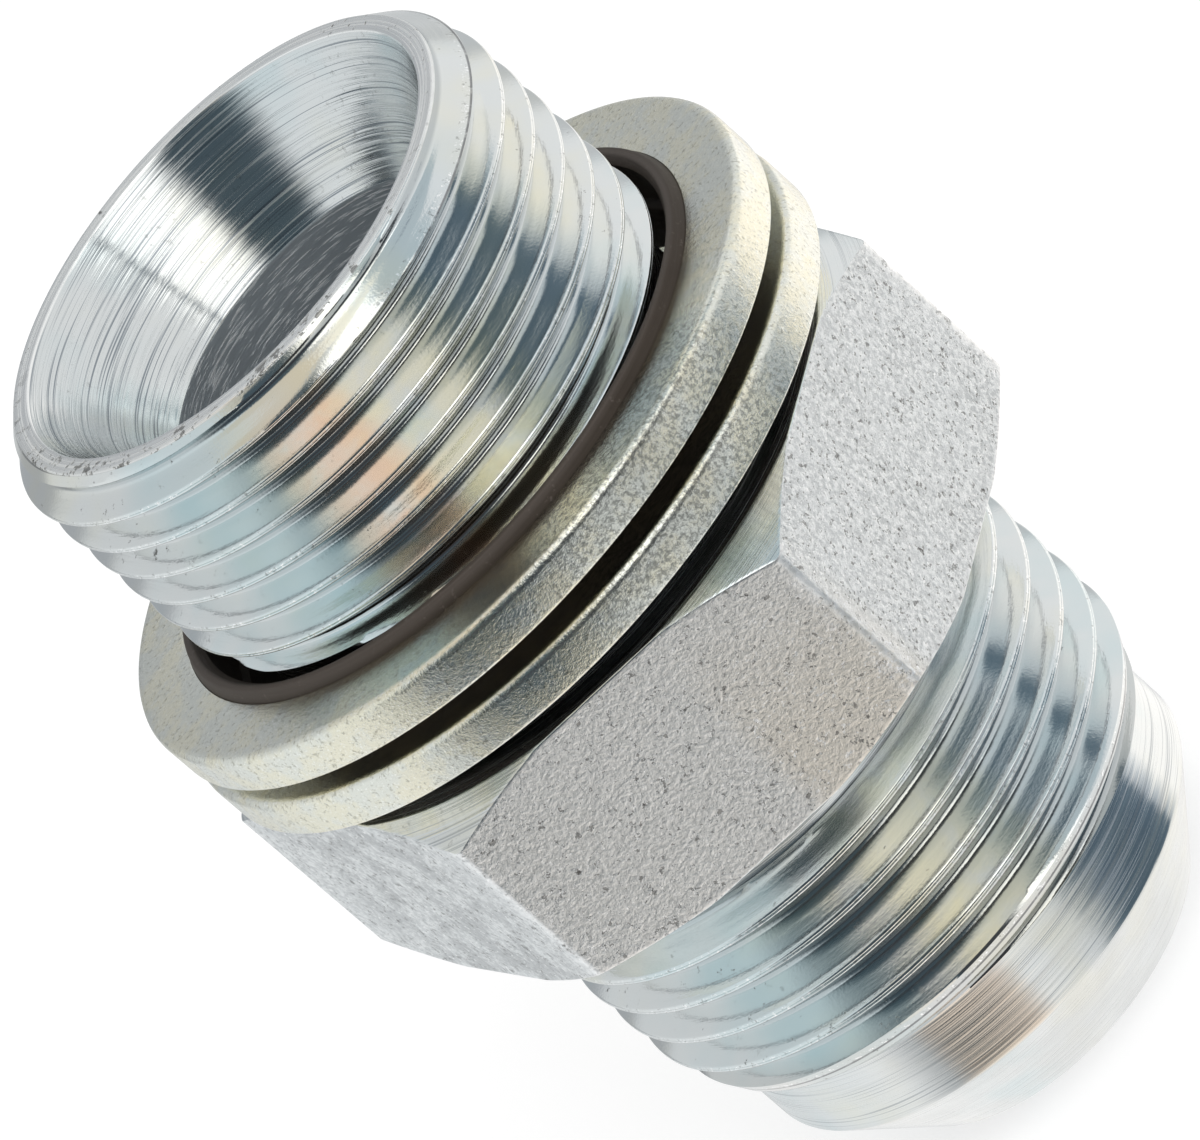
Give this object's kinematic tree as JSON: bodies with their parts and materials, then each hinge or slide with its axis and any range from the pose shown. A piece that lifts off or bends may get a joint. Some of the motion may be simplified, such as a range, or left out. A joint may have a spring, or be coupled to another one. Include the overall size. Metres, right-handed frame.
{
  "type": "flare to parallel thread adapter fitting",
  "caption": "Straight steel hydraulic adapter: a flare nose and thread at one end, a hexagon, and a parallel thread with a coned mouth at the other, carrying loose bonded seals on its neck.",
  "frame": {"origin": "centre of the flare nose's end face, on which the part stands", "axes": "+Z along the bore from the flare nose towards the parallel thread; one flat of the hexagon faces -Y"},
  "size_m": [0.0366, 0.035, 0.0512],
  "materials": {
    "plated_steel": "bright zinc plate over turned, rolled and drawn steel",
    "washer_steel": "zinc plate with a faint yellow cast over stamped steel",
    "seal_rubber": "matte moulded rubber"
  },
  "bodies": {
    "root": {"adapter_body": "plated_steel", "front_seal_washer": "washer_steel", "front_seal_rubber": "seal_rubber", "rear_seal_washer": "washer_steel", "rear_seal_rubber": "seal_rubber"}
  },
  "joints": []
}
